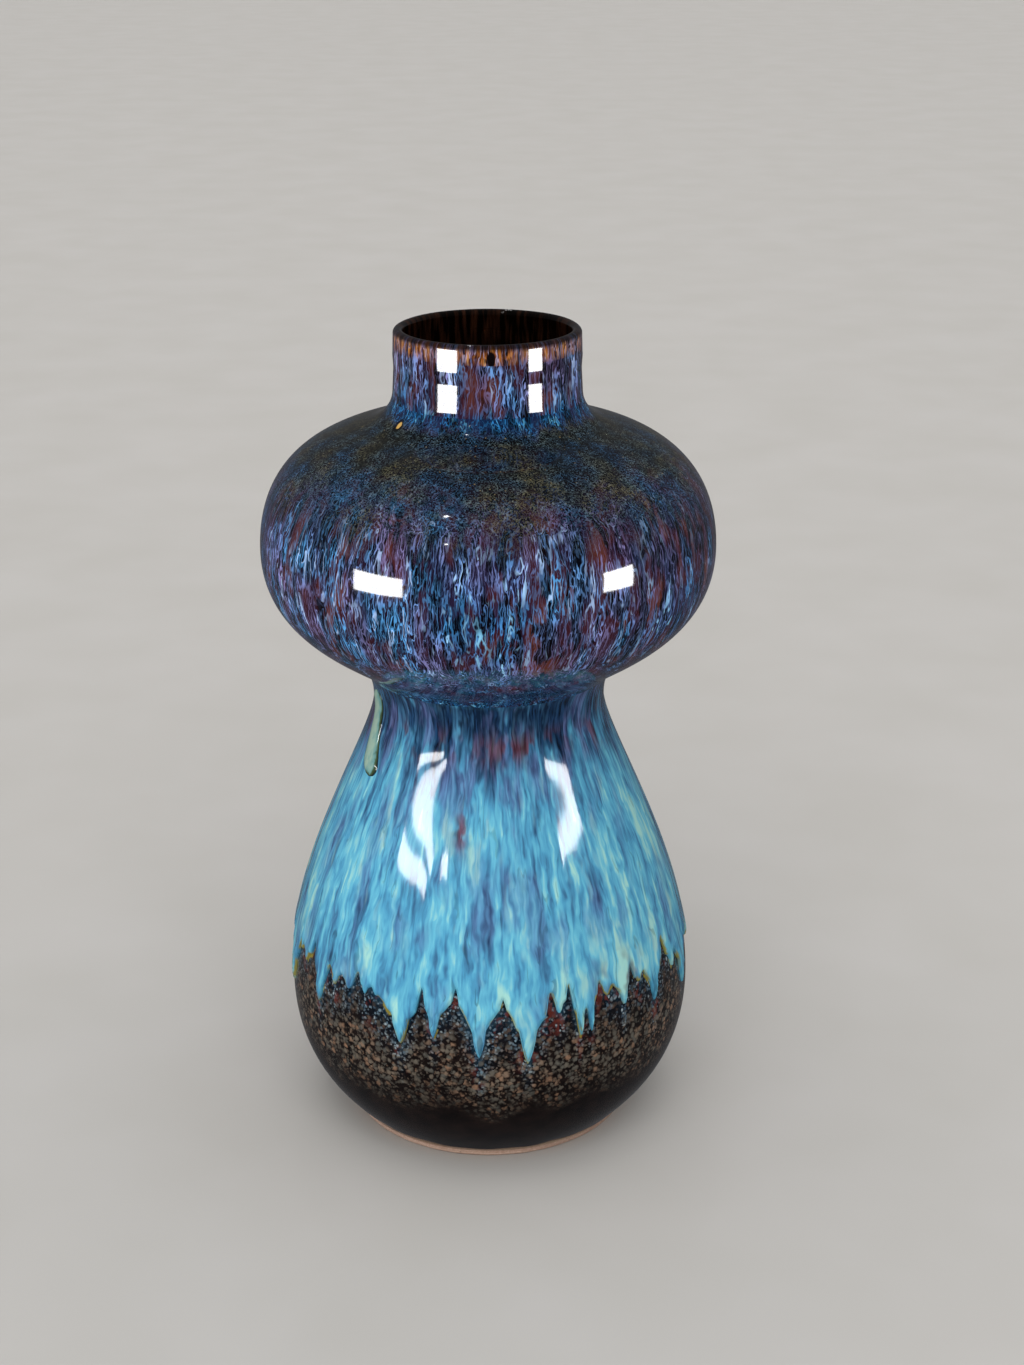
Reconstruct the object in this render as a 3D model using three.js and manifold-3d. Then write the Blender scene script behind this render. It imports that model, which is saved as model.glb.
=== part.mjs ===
// A ceramic bud vase: a pear-shaped lower bulb, a flattened globe on a tight waist, and a short
// straight neck. Three clay sections are joined with slip, stand on a bare foot ring, and carry a
// dark glaze, thick flowing glazes over it, a lip glaze and a liner glaze.
// Millimetres, +Z up. The origin is the centre of the ring that the vase stands on. -Y is the front.
import * as THREE from "three";
import { mergeVertices } from "three/addons/utils/BufferGeometryUtils.js";
import Module from "manifold-3d";

const wasm = await Module();
wasm.setup();

// ---- Driving dimensions -------------------------------------------------------------------

// Radii of the finished outside.
const FOOT_RADIUS = 34.6;
const GLAZE_LINE_RADIUS = 36.1;
const BELLY_RADIUS = 50.6;
const WAIST_RADIUS = 28.1;
const GLOBE_RADIUS = 54.3;
const NECK_RADIUS = 22.2;
const LIP_RADIUS = 21.9;

// Heights, each one measured from the level below it.
const FOOT_RING_HEIGHT = 2;
const BELLY_RISE = 33;
const LOWER_TAPER = 75;
const GLOBE_RISE = 38;
const SHOULDER_RISE = 37.5;
const NECK_LENGTH = 14.5;

// How far each widest or narrowest level keeps its vertical tangent, below and above it.
const FOOT_TURN = { slope: 49, reach: 5.5 };
const BELLY_FULLNESS = { below: 19.5, above: 31 };
const WAIST_FULLNESS = { below: 10, above: 6 };
const GLOBE_FULLNESS = { below: 17.5, above: 24 };
const NECK_FULLNESS = { below: 4.5 };

// The two hollows where a wide form meets a narrow one: the end of each small curve, measured
// from the waist or from the foot of the neck, its slope in degrees, and its reach to each side.
const WAIST_FILLET = { run: 3.5, rise: 8.8, slope: 36, towardsWaist: 1.6, towardsGlobe: 9.2 };
const NECK_FILLET = { run: 7.3, drop: 8.4, slope: 18, towardsNeck: 4, towardsGlobe: 5.2 };

// Thicknesses.
const WALL = 5; // finished outside to the clay's inside, in the bulb and the globe
const FLOOR = 6;
const LIP_WALL = 2.5;
const BASE_GLAZE = 0.4;
const DRIP_GLAZE = 0.6;
const GLOBE_GLAZE = 0.6;
const NECK_GLAZE = 0.4;
const LINER_GLAZE = 0.4;
const SLIP_SEAM = 1;
const LAYER_GAP = 0.05; // clear space between two layers that lie on each other

// Where the sections and the coats meet.
const WAIST_JOINT_ABOVE_WAIST = 7;
const NECK_JOINT_BELOW_NECK = 2;
const BARE_FOOT = 0.8; // clay left bare above the foot ring
const LIP_BAND = 4.5; // depth of the lip glaze, outside and inside
const LIP_STRAIGHT_BELOW_BAND = 1;
const FOOT_RING_WIDTH = 7.6;
const FOOT_RING_EDGE = 0.5;

// The lower edge of the drip glaze: its level between the drips, measured down from the waist,
// and each drip's place around the vase in degrees (0 is the front, + towards +X), its length
// below that edge and its half width in degrees.
const DRIP_EDGE_BELOW_WAIST = 60;
const DRIP_CUT_MARGIN = 4; // how far the drips' cutter reaches past the coat
const DRIPS = [
  { at: -2, length: 14, spread: 8 },
  { at: 11, length: 16, spread: 9 },
  { at: 27, length: 12, spread: 8 },
  { at: 41, length: 8, spread: 7 },
  { at: 53, length: 10, spread: 9 },
  { at: 74, length: 13, spread: 9 },
  { at: 92, length: 8, spread: 8 },
  { at: 112, length: 15, spread: 10 },
  { at: 131, length: 9, spread: 8 },
  { at: 150, length: 12, spread: 9 },
  { at: 169, length: 7, spread: 8 },
  { at: -24, length: 12, spread: 9 },
  { at: -44, length: 4, spread: 7 },
  { at: -57, length: 10, spread: 9 },
  { at: -78, length: 14, spread: 10 },
  { at: -98, length: 8, spread: 8 },
  { at: -117, length: 12, spread: 9 },
  { at: -138, length: 6, spread: 8 },
  { at: -156, length: 14, spread: 10 },
  { at: -173, length: 9, spread: 7 },
];

// The thick run of glaze on the left of the waist: its angle and its distance below the waist
// joint, its half width at both ends, and how far it stands proud.
const RUN = { topAt: -70, tipAt: -60, starts: 3, length: 19.5, topHalf: 5, tipHalf: 4, proud: 0.8 };

// Fineness of the facets.
const AROUND = 32;
const DRIP_EDGE_AROUND = 96;
const ARC_STEPS = 5;
const FILLET_STEPS = 2;
const LIP_STEPS = 6;
const RUN_ROWS = 9;
const RUN_ARC = 6;

// ---- Levels that follow from the dimensions -------------------------------------------------

const BELLY_LEVEL = FOOT_RING_HEIGHT + BELLY_RISE;
const WAIST_LEVEL = BELLY_LEVEL + LOWER_TAPER;
const GLOBE_LEVEL = WAIST_LEVEL + GLOBE_RISE;
const NECK_LEVEL = GLOBE_LEVEL + SHOULDER_RISE;
const HEIGHT = NECK_LEVEL + NECK_LENGTH;
const LIP_ROUND = LIP_WALL / 2;
const LIP_CENTRE = new THREE.Vector2(LIP_RADIUS - LIP_ROUND, HEIGHT - LIP_ROUND);
const LIP_BAND_LEVEL = HEIGHT - LIP_BAND;
const WAIST_JOINT = WAIST_LEVEL + WAIST_JOINT_ABOVE_WAIST;
const NECK_JOINT = NECK_LEVEL - NECK_JOINT_BELOW_NECK;
const FLOOR_LEVEL = FOOT_RING_HEIGHT + LAYER_GAP + FLOOR;
const DRIP_EDGE = WAIST_LEVEL - DRIP_EDGE_BELOW_WAIST;

// How far each clay or glaze face lies inside the finished outside.
const UNDER_DRIPS = DRIP_GLAZE + LAYER_GAP;
const LOWER_CLAY = UNDER_DRIPS + BASE_GLAZE + LAYER_GAP;
const GLOBE_CLAY = GLOBE_GLAZE + LAYER_GAP;
const NECK_CLAY = NECK_GLAZE + LAYER_GAP;
const NECK_INSIDE = LIP_WALL - LINER_GLAZE - LAYER_GAP;

// ---- The finished outline -------------------------------------------------------------------

const point = (radius, level) => new THREE.Vector2(radius, level);

// The point that lies a distance away from another, at a slope in degrees.
function along(from, slope, distance) {
  const angle = THREE.MathUtils.degToRad(slope);
  return point(from.x + distance * Math.cos(angle), from.y + distance * Math.sin(angle));
}

// The outside from the glaze line up to the straight part of the lip, bottom to top.
function finishedOutline() {
  const foot = point(GLAZE_LINE_RADIUS, FOOT_RING_HEIGHT);
  const belly = point(BELLY_RADIUS, BELLY_LEVEL);
  const waist = point(WAIST_RADIUS, WAIST_LEVEL);
  const underside = point(WAIST_RADIUS + WAIST_FILLET.run, WAIST_LEVEL + WAIST_FILLET.rise);
  const globe = point(GLOBE_RADIUS, GLOBE_LEVEL);
  const shoulder = point(NECK_RADIUS + NECK_FILLET.run, NECK_LEVEL - NECK_FILLET.drop);
  const neck = point(NECK_RADIUS, NECK_LEVEL);
  const up = 90;
  const down = -90;
  const arcs = [
    [foot, FOOT_TURN.slope, FOOT_TURN.reach, belly, down, BELLY_FULLNESS.below, ARC_STEPS],
    [belly, up, BELLY_FULLNESS.above, waist, down, WAIST_FULLNESS.below, ARC_STEPS + 1],
    [waist, up, WAIST_FULLNESS.above, underside, WAIST_FILLET.slope + 180, WAIST_FILLET.towardsWaist,
      FILLET_STEPS],
    [underside, WAIST_FILLET.slope, WAIST_FILLET.towardsGlobe, globe, down, GLOBE_FULLNESS.below,
      ARC_STEPS],
    [globe, up, GLOBE_FULLNESS.above, shoulder, -NECK_FILLET.slope, NECK_FILLET.towardsGlobe, ARC_STEPS],
    [shoulder, 180 - NECK_FILLET.slope, NECK_FILLET.towardsNeck, neck, down, NECK_FULLNESS.below,
      FILLET_STEPS],
  ];
  const outline = [foot];
  for (const [start, startSlope, startReach, end, endSlope, endReach, steps] of arcs) {
    const curve = new THREE.CubicBezierCurve(
      start,
      along(start, startSlope, startReach),
      along(end, endSlope, endReach),
      end,
    );
    outline.push(...curve.getPoints(steps).slice(1));
  }
  for (const level of [LIP_BAND_LEVEL - LIP_STRAIGHT_BELOW_BAND, LIP_BAND_LEVEL, LIP_CENTRE.y]) {
    outline.push(point(LIP_RADIUS, level));
  }
  return outline;
}

const OUTLINE = finishedOutline();

// The outline moved inwards along its normals. depth is a number, or a function of the level.
function inset(depth) {
  return OUTLINE.map((p, i) => {
    const before = OUTLINE[Math.max(i - 1, 0)];
    const after = OUTLINE[Math.min(i + 1, OUTLINE.length - 1)];
    const tangent = after.clone().sub(before).normalize();
    const distance = typeof depth === "number" ? depth : depth(p.y);
    return point(p.x - distance * tangent.y, p.y + distance * tangent.x);
  });
}

// The point of a line at a level; a level past either end takes that end's radius.
function pointAt(line, level) {
  const next = line.findIndex((p) => p.y > level);
  if (next === 0) return point(line[0].x, level);
  if (next < 0) return point(line[line.length - 1].x, level);
  const [low, high] = [line[next - 1], line[next]];
  return point(THREE.MathUtils.mapLinear(level, low.y, high.y, low.x, high.x), level);
}

// The stretch of a line between two levels, with a point on each level.
function slice(line, low, high) {
  const between = line.filter((p) => p.y > low && p.y < high);
  return [pointAt(line, low), ...between, pointAt(line, high)];
}

// Depth of the clay's inside face: the full wall, thinning up the shoulder to the neck's wall.
function insideDepth(level) {
  const upShoulder = THREE.MathUtils.smoothstep(level, GLOBE_LEVEL, NECK_LEVEL);
  return THREE.MathUtils.lerp(WALL, NECK_INSIDE, upShoulder);
}

const CLAY_INSIDE = inset(insideDepth);
const LINER_OUTSIDE = inset((level) => insideDepth(level) + LAYER_GAP);
const LINER_INSIDE = inset((level) => insideDepth(level) + LAYER_GAP + LINER_GLAZE);

// ---- Solids ---------------------------------------------------------------------------------

// A closed section turned round the Z axis. Angle 0 of the turning is the front, -Y.
function turned(section, around = AROUND) {
  const closed = section[0].equals(section[section.length - 1]) ? section : [...section, section[0]];
  const onAxis = section[0].x === 0;
  return new THREE.LatheGeometry(onAxis ? section : closed, around).rotateX(Math.PI / 2);
}

// A layer between two levels, bounded by an outer and an inner line.
function layer(outer, inner, low, high) {
  return turned([...slice(outer, low, high), ...slice(inner, low, high).reverse()]);
}

// A point of the finished outside, moved in or out, at an angle round the vase in degrees.
function onVase(degrees, radius, level) {
  const angle = THREE.MathUtils.degToRad(degrees);
  return new THREE.Vector3(radius * Math.sin(angle), -radius * Math.cos(angle), level);
}

// A geometry with one vertex for each corner, and nothing but positions.
function merged(geometry) {
  geometry.deleteAttribute("normal");
  geometry.deleteAttribute("uv");
  return mergeVertices(geometry);
}

function solidOf(geometry) {
  const { attributes, index } = merged(geometry);
  const triVerts = new Uint32Array(index.array);
  return new wasm.Manifold(
    new wasm.Mesh({ numProp: 3, vertProperties: attributes.position.array, triVerts }),
  );
}

function cutAway(geometry, cutter) {
  const { vertProperties, triVerts } = solidOf(geometry).subtract(solidOf(cutter)).getMesh();
  return new THREE.BufferGeometry()
    .setAttribute("position", new THREE.BufferAttribute(vertProperties, 3))
    .setIndex(new THREE.BufferAttribute(triVerts, 1));
}

// A closed skin over a row of rings with equal point counts: joined end to end, or capped.
function ringSkin(rings, joinedEndToEnd) {
  const count = rings[0].length;
  const positions = rings.flat();
  const index = [];
  const spans = joinedEndToEnd ? rings.length : rings.length - 1;
  for (let i = 0; i < spans; i++) {
    const here = i * count;
    const there = ((i + 1) % rings.length) * count;
    for (let j = 0; j < count; j++) {
      const k = (j + 1) % count;
      index.push(here + j, there + j, there + k, here + j, there + k, here + k);
    }
  }
  if (!joinedEndToEnd) {
    const last = (rings.length - 1) * count;
    for (let j = 1; j < count - 1; j++) {
      index.push(0, j, j + 1, last, last + j + 1, last + j);
    }
  }
  return new THREE.BufferGeometry().setFromPoints(positions).setIndex(index);
}

function footRing() {
  const inner = FOOT_RADIUS - FOOT_RING_WIDTH;
  return turned([
    point(inner, FOOT_RING_EDGE),
    point(inner + FOOT_RING_EDGE, 0),
    point(FOOT_RADIUS - FOOT_RING_EDGE, 0),
    point(FOOT_RADIUS, FOOT_RING_EDGE),
    point(FOOT_RADIUS, FOOT_RING_HEIGHT),
    point(inner, FOOT_RING_HEIGHT),
  ]);
}

function lowerBody() {
  const bottom = FOOT_RING_HEIGHT + LAYER_GAP;
  const top = WAIST_JOINT - SLIP_SEAM / 2 - LAYER_GAP;
  return turned([
    point(0, bottom),
    ...slice(inset(LOWER_CLAY), bottom, top),
    ...slice(CLAY_INSIDE, FLOOR_LEVEL, top).reverse(),
    point(0, FLOOR_LEVEL),
  ]);
}

function upperBody() {
  const bottom = WAIST_JOINT + SLIP_SEAM / 2 + LAYER_GAP;
  const top = NECK_JOINT - SLIP_SEAM / 2 - LAYER_GAP;
  return layer(inset(GLOBE_CLAY), CLAY_INSIDE, bottom, top);
}

// A ring of slip that fills the joint between two sections.
function slipSeam(joint, outsideDepth) {
  return layer(inset(outsideDepth), CLAY_INSIDE, joint - SLIP_SEAM / 2, joint + SLIP_SEAM / 2);
}

// A half circle over the lip, from its outside to its inside.
function overLip(radius) {
  const arc = [];
  for (let i = 0; i <= LIP_STEPS; i++) {
    arc.push(along(LIP_CENTRE, (180 * i) / LIP_STEPS, radius));
  }
  return arc;
}

function neckCollar() {
  const bottom = NECK_JOINT + SLIP_SEAM / 2 + LAYER_GAP;
  const lip = LIP_CENTRE.y;
  return turned([
    ...slice(inset(NECK_CLAY), bottom, lip).slice(0, -1),
    ...overLip(LIP_ROUND - NECK_CLAY),
    ...slice(CLAY_INSIDE, bottom, lip).reverse().slice(1),
  ]);
}

function lipGlaze() {
  const outer = overLip(LIP_ROUND);
  const inner = overLip(LIP_ROUND - NECK_GLAZE);
  const ends = [outer[LIP_STEPS], inner[LIP_STEPS], inner[0], outer[0]];
  const feet = ends.map((p) => point(p.x, LIP_BAND_LEVEL));
  return turned([...outer, feet[0], feet[1], ...inner.reverse(), feet[2], feet[3]]);
}

function linerGlaze() {
  const top = LIP_BAND_LEVEL - LAYER_GAP;
  const floor = FLOOR_LEVEL + LAYER_GAP;
  return turned([
    point(0, floor),
    ...slice(LINER_OUTSIDE, floor, top),
    ...slice(LINER_INSIDE, floor + LINER_GLAZE, top).reverse(),
    point(0, floor + LINER_GLAZE),
  ]);
}

// The level of the drip glaze's lower edge at an angle round the vase, in degrees.
function dripEdge(degrees) {
  const lengths = DRIPS.map(({ at, length, spread }) => {
    const away = Math.abs(((degrees - at + 540) % 360) - 180) / spread;
    return away < 1 ? (length * (1 + Math.cos(Math.PI * away))) / 2 : 0;
  });
  return DRIP_EDGE - Math.max(...lengths);
}

// The whole coat, less everything below the wavy edge.
function dripGlaze() {
  const lowest = DRIP_EDGE - Math.max(...DRIPS.map((drip) => drip.length)) - DRIP_CUT_MARGIN;
  const coat = layer(OUTLINE, inset(DRIP_GLAZE), lowest, WAIST_JOINT - LAYER_GAP);
  const rings = [];
  for (let i = 0; i < DRIP_EDGE_AROUND; i++) {
    const degrees = (360 * i) / DRIP_EDGE_AROUND;
    const edge = dripEdge(degrees);
    rings.push([
      onVase(degrees, WAIST_RADIUS / 2, lowest - DRIP_CUT_MARGIN),
      onVase(degrees, BELLY_RADIUS + DRIP_CUT_MARGIN, lowest - DRIP_CUT_MARGIN),
      onVase(degrees, BELLY_RADIUS + DRIP_CUT_MARGIN, edge),
      onVase(degrees, WAIST_RADIUS / 2, edge),
    ]);
  }
  return cutAway(coat, ringSkin(rings, true));
}

// A tongue of glaze with a low round back, which follows the outside of the lower bulb.
function glazeRun() {
  const start = WAIST_JOINT - RUN.starts;
  const rings = [];
  for (let i = 0; i <= RUN_ROWS; i++) {
    const down = i / RUN_ROWS;
    const level = start - RUN.length * down;
    const surface = pointAt(OUTLINE, level).x + LAYER_GAP;
    const middle = THREE.MathUtils.lerp(RUN.topAt, RUN.tipAt, down * down);
    const roundEnds = Math.sqrt(Math.sin(Math.PI * THREE.MathUtils.lerp(0.04, 0.96, down)));
    const half = THREE.MathUtils.lerp(RUN.topHalf, RUN.tipHalf, down) * roundEnds;
    const back = [];
    const underside = [];
    for (let j = 0; j <= RUN_ARC; j++) {
      const turn = (Math.PI * j) / RUN_ARC;
      const degrees = middle + THREE.MathUtils.radToDeg((half * Math.cos(turn)) / surface);
      back.push(onVase(degrees, surface + RUN.proud * roundEnds * Math.sin(turn), level));
      underside.push(onVase(degrees, surface, level));
    }
    rings.push([...back.reverse(), ...underside.slice(1, -1)]);
  }
  return ringSkin(rings, false);
}

// ---- The assembly ---------------------------------------------------------------------------

const clay = { color: 0xcbb8a4, roughness: 0.85, metalness: 0 };
const slip = { color: 0xb9a48f, roughness: 0.9, metalness: 0 };
const darkGlaze = { color: 0x1a120e, roughness: 0.12, metalness: 0 };
const turquoiseGlaze = { color: 0x4d9cc4, roughness: 0.1, metalness: 0 };
const violetGlaze = { color: 0x3b3f6b, roughness: 0.1, metalness: 0 };
const neckBlueGlaze = { color: 0x4a3f5a, roughness: 0.1, metalness: 0 };
const amberGlaze = { color: 0x6b3414, roughness: 0.12, metalness: 0 };
const runGlaze = { color: 0x8fc4bb, roughness: 0.08, metalness: 0 };

const lowerTop = WAIST_JOINT - LAYER_GAP;
const pieces = [
  ["foot_ring", footRing(), clay],
  ["lower_body", lowerBody(), clay],
  ["waist_slip_seam", slipSeam(WAIST_JOINT, LOWER_CLAY), slip],
  ["upper_body", upperBody(), clay],
  ["neck_slip_seam", slipSeam(NECK_JOINT, GLOBE_CLAY), slip],
  ["neck_collar", neckCollar(), clay],
  ["base_glaze", layer(inset(UNDER_DRIPS), inset(UNDER_DRIPS + BASE_GLAZE),
    FOOT_RING_HEIGHT + BARE_FOOT, lowerTop), darkGlaze],
  ["lower_drip_glaze", dripGlaze(), turquoiseGlaze],
  ["globe_glaze", layer(OUTLINE, inset(GLOBE_GLAZE), WAIST_JOINT, NECK_JOINT), violetGlaze],
  ["neck_glaze", layer(OUTLINE, inset(NECK_GLAZE), NECK_JOINT + LAYER_GAP,
    LIP_BAND_LEVEL - LAYER_GAP), neckBlueGlaze],
  ["lip_glaze", lipGlaze(), amberGlaze],
  ["liner_glaze", linerGlaze(), darkGlaze],
  ["glaze_run", glazeRun(), runGlaze],
];

const vase = new THREE.Group();
for (const [name, geometry, look] of pieces) {
  const mesh = new THREE.Mesh(merged(geometry), new THREE.MeshStandardMaterial(look));
  mesh.name = name;
  vase.add(mesh);
}

export default vase;
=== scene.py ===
# A ceramic bud vase: a pear-shaped lower bulb, a flattened globe on a tight waist and a short neck,
# under flowing blue, violet and turquoise glazes.
# Sizes are in millimetres; meshes are made, and lights and the camera placed, in metres. Angle 0
# round the vase is its front, -Y, and angles grow towards +X.
import functools
import math

import bpy
import numpy as np
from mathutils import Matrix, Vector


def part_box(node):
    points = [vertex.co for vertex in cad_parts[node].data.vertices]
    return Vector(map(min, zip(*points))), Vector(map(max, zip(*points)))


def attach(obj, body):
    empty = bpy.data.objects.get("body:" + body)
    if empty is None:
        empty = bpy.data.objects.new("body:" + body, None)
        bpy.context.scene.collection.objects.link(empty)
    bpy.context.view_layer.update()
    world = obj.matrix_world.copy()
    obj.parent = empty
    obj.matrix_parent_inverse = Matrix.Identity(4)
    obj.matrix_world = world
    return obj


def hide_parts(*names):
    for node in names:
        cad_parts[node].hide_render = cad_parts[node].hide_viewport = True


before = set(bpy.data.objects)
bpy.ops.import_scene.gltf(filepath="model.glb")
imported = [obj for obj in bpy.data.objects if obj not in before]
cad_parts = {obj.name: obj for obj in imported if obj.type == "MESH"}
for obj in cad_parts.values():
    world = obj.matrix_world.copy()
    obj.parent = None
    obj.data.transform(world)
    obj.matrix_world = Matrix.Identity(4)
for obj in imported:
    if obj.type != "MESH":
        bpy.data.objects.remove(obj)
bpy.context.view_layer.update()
MM = 0.001


def low_high(node, axis):
    """The lowest and highest coordinate of a CAD node along an axis, in millimetres."""
    low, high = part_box(node)
    return low[axis] / MM, high[axis] / MM


# ---- Sizes ----

# Depths below the finished outside.
DRIP_GLAZE = 0.65
BASE_GLAZE = 1.05
LOWER_CLAY = 1.1
GLOBE_GLAZE = 0.6
GLOBE_CLAY = 0.65
NECK_GLAZE = 0.4
NECK_CLAY = 0.45
WALL = 5.0
LIP_WALL = 2.5
LINER_GAP = 0.05
LINER_GLAZE = 0.4
NECK_INSIDE = LIP_WALL - LINER_GLAZE - LINER_GAP

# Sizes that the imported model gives.
FOOT_RADIUS = low_high("foot_ring", 0)[1]
FOOT_RING_HEIGHT = low_high("foot_ring", 2)[1]
BELLY_RADIUS = low_high("base_glaze", 0)[1] + DRIP_GLAZE
GLOBE_RADIUS = low_high("globe_glaze", 0)[1]
LIP_RADIUS = low_high("lip_glaze", 0)[1]
HEIGHT = low_high("lip_glaze", 2)[1]
GLAZE_FOOT = low_high("base_glaze", 2)[0]
WAIST_JOINT, NECK_JOINT = low_high("globe_glaze", 2)
LIP_BAND = low_high("lip_glaze", 2)[0]
FLOOR_UNDER, LOWER_CLAY_TOP = low_high("lower_body", 2)
GLOBE_CLAY_FOOT, GLOBE_CLAY_TOP = low_high("upper_body", 2)
COLLAR_FOOT = low_high("neck_collar", 2)[0]
LINER_FOOT, LINER_TOP = low_high("liner_glaze", 2)
RUN_TIP, RUN_TOP = low_high("glaze_run", 2)

# Named values of the outline that no box gives.
GLAZE_LINE_RADIUS = 36.1
WAIST_RADIUS = 28.1
NECK_RADIUS = 22.2
BELLY_LEVEL = FOOT_RING_HEIGHT + 33
WAIST_LEVEL = WAIST_JOINT - 7
GLOBE_LEVEL = WAIST_LEVEL + 38
NECK_LEVEL = NECK_JOINT + 2
WAIST_FILLET = {"run": 3.5, "rise": 8.8, "slope": 36, "towards_waist": 1.6, "towards_globe": 9.2}
NECK_FILLET = {"run": 7.3, "drop": 8.4, "slope": 18, "towards_neck": 4, "towards_globe": 5.2}
LIP_ROUND = LIP_WALL / 2
LIP_CENTRE = (LIP_RADIUS - LIP_ROUND, HEIGHT - LIP_ROUND)
FOOT_RING_WIDTH = 7.6
FOOT_RING_EDGE = 0.8
BEDDED = 0.03  # how deep the edge of a coat sits in the one under it
EDGE_ROUND = 1.3  # how far in from its edge the flowing coat has its full thickness
BEAD = 0.28  # how much the glaze swells above its drips' edge

# The fineness of the meshes: steps in one arc of the outline, the distances between two rows,
# and columns round the vase.
ARC_STEPS = 96
ROW = 0.8
LINER_ROW = 1.5
CLAY_ROW = 2.0
NECK_INNER_ROW = 3.0
INNER_ROW = 5.0
AROUND = 384
DRIP_AROUND = 768


# ---- The finished outline ----


def along(start, slope, distance):
    """The point that lies a distance from another, at a slope in degrees."""
    angle = math.radians(slope)
    return start[0] + distance * math.cos(angle), start[1] + distance * math.sin(angle)


def bezier(start, start_control, end_control, end, steps):
    """The points of a cubic curve after its start, as rows of radius and level."""
    t = np.linspace(0, 1, steps + 1)[1:, None]
    p, q, r, s = (np.array(point, float) for point in (start, start_control, end_control, end))
    return (1 - t) ** 3 * p + 3 * (1 - t) ** 2 * t * q + 3 * (1 - t) * t**2 * r + t**3 * s


def finished_outline():
    """The outside from the glaze line up to the straight part of the lip, bottom to top."""
    foot = (GLAZE_LINE_RADIUS, FOOT_RING_HEIGHT)
    belly = (BELLY_RADIUS, BELLY_LEVEL)
    waist = (WAIST_RADIUS, WAIST_LEVEL)
    underside = (WAIST_RADIUS + WAIST_FILLET["run"], WAIST_LEVEL + WAIST_FILLET["rise"])
    globe = (GLOBE_RADIUS, GLOBE_LEVEL)
    shoulder = (NECK_RADIUS + NECK_FILLET["run"], NECK_LEVEL - NECK_FILLET["drop"])
    neck = (NECK_RADIUS, NECK_LEVEL)
    # Each arc: its start, slope and reach there in millimetres, then its end, slope and reach.
    arcs = (
        (foot, 49, 5.5, belly, -90, 19.5),
        (belly, 90, 31, waist, -90, 10),
        (waist, 90, 6, underside, WAIST_FILLET["slope"] + 180, WAIST_FILLET["towards_waist"]),
        (underside, WAIST_FILLET["slope"], WAIST_FILLET["towards_globe"], globe, -90, 17.5),
        (globe, 90, 24, shoulder, -NECK_FILLET["slope"], NECK_FILLET["towards_globe"]),
        (shoulder, 180 - NECK_FILLET["slope"], NECK_FILLET["towards_neck"], neck, -90, 4.5),
    )
    points = [np.array([foot])]
    for start, slope, reach, end, end_slope, end_reach in arcs:
        controls = along(start, slope, reach), along(end, end_slope, end_reach)
        points.append(bezier(start, *controls, end, ARC_STEPS))
    points.append(np.array([(LIP_RADIUS, LIP_BAND - 1), (LIP_RADIUS, LIP_BAND), (LIP_RADIUS, LIP_CENTRE[1])]))
    return np.vstack(points)


def normals_of(line):
    """The unit normals of a line, pointing out of the vase."""
    tangent = np.gradient(line, axis=0)
    tangent /= np.linalg.norm(tangent, axis=1)[:, None]
    return np.stack([tangent[:, 1], -tangent[:, 0]], axis=1)


OUTLINE = finished_outline()
OUTLINE_NORMALS = normals_of(OUTLINE)
OUTLINE_LENGTH = np.concatenate([[0], np.cumsum(np.linalg.norm(np.diff(OUTLINE, axis=0), axis=1))])


def length_at(level):
    """The distance along the outline up to a level."""
    return np.interp(level, OUTLINE[:, 1], OUTLINE_LENGTH)


def radius_at(level):
    return np.interp(level, OUTLINE[:, 1], OUTLINE[:, 0])


def inset(depth):
    """The outline moved inwards along its normals, by a number or by a function of the level."""
    distance = depth(OUTLINE[:, 1]) if callable(depth) else depth
    return OUTLINE - OUTLINE_NORMALS * np.reshape(distance, (-1, 1))


def inside_depth(level):
    """Depth of the clay's inside: the full wall, thinning up the shoulder to the neck's wall."""
    t = np.clip((level - GLOBE_LEVEL) / (NECK_LEVEL - GLOBE_LEVEL), 0, 1)
    return WALL + (NECK_INSIDE - WALL) * t * t * (3 - 2 * t)


CLAY_INSIDE = inset(inside_depth)
LINER_OUTSIDE = inset(lambda level: inside_depth(level) + LINER_GAP)
LINER_INSIDE = inset(lambda level: inside_depth(level) + LINER_GAP + LINER_GLAZE)


def stretch(line, low, high, row=ROW):
    """The stretch of a line between two levels, in even steps of about one row."""
    levels = line[:, 1]
    inner = line[(levels > low) & (levels < high)]
    ends = [(np.interp(level, levels, line[:, 0]), level) for level in (low, high)]
    part = np.vstack([[ends[0]], inner, [ends[1]]])
    run = np.concatenate([[0], np.cumsum(np.linalg.norm(np.diff(part, axis=0), axis=1))])
    steps = np.linspace(0, run[-1], max(2, int(run[-1] / row) + 2))
    return np.stack([np.interp(steps, run, part[:, k]) for k in (0, 1)], axis=1)


# ---- Relief and features round the vase ----


def around(theta, at):
    """How far an angle is from another, in degrees, the short way round."""
    return (np.degrees(theta) - at + 180) % 360 - 180


def spot(theta, level, at, height, wide, tall):
    """A soft spot: 1 at its middle, fading over a width in degrees and a height in millimetres."""
    return np.exp(-((around(theta, at) / wide) ** 2) - ((level - height) / tall) ** 2)


def spots(theta, level, *places):
    """Several soft spots: place in degrees, height, width in degrees and height in millimetres."""
    return sum(spot(theta, level, *place) for place in places)


def by_level(level, *stops):
    """A value that changes evenly with the level from one (level, value) stop to the next."""
    levels, values = zip(*stops)
    return np.interp(level, levels, values)


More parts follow.
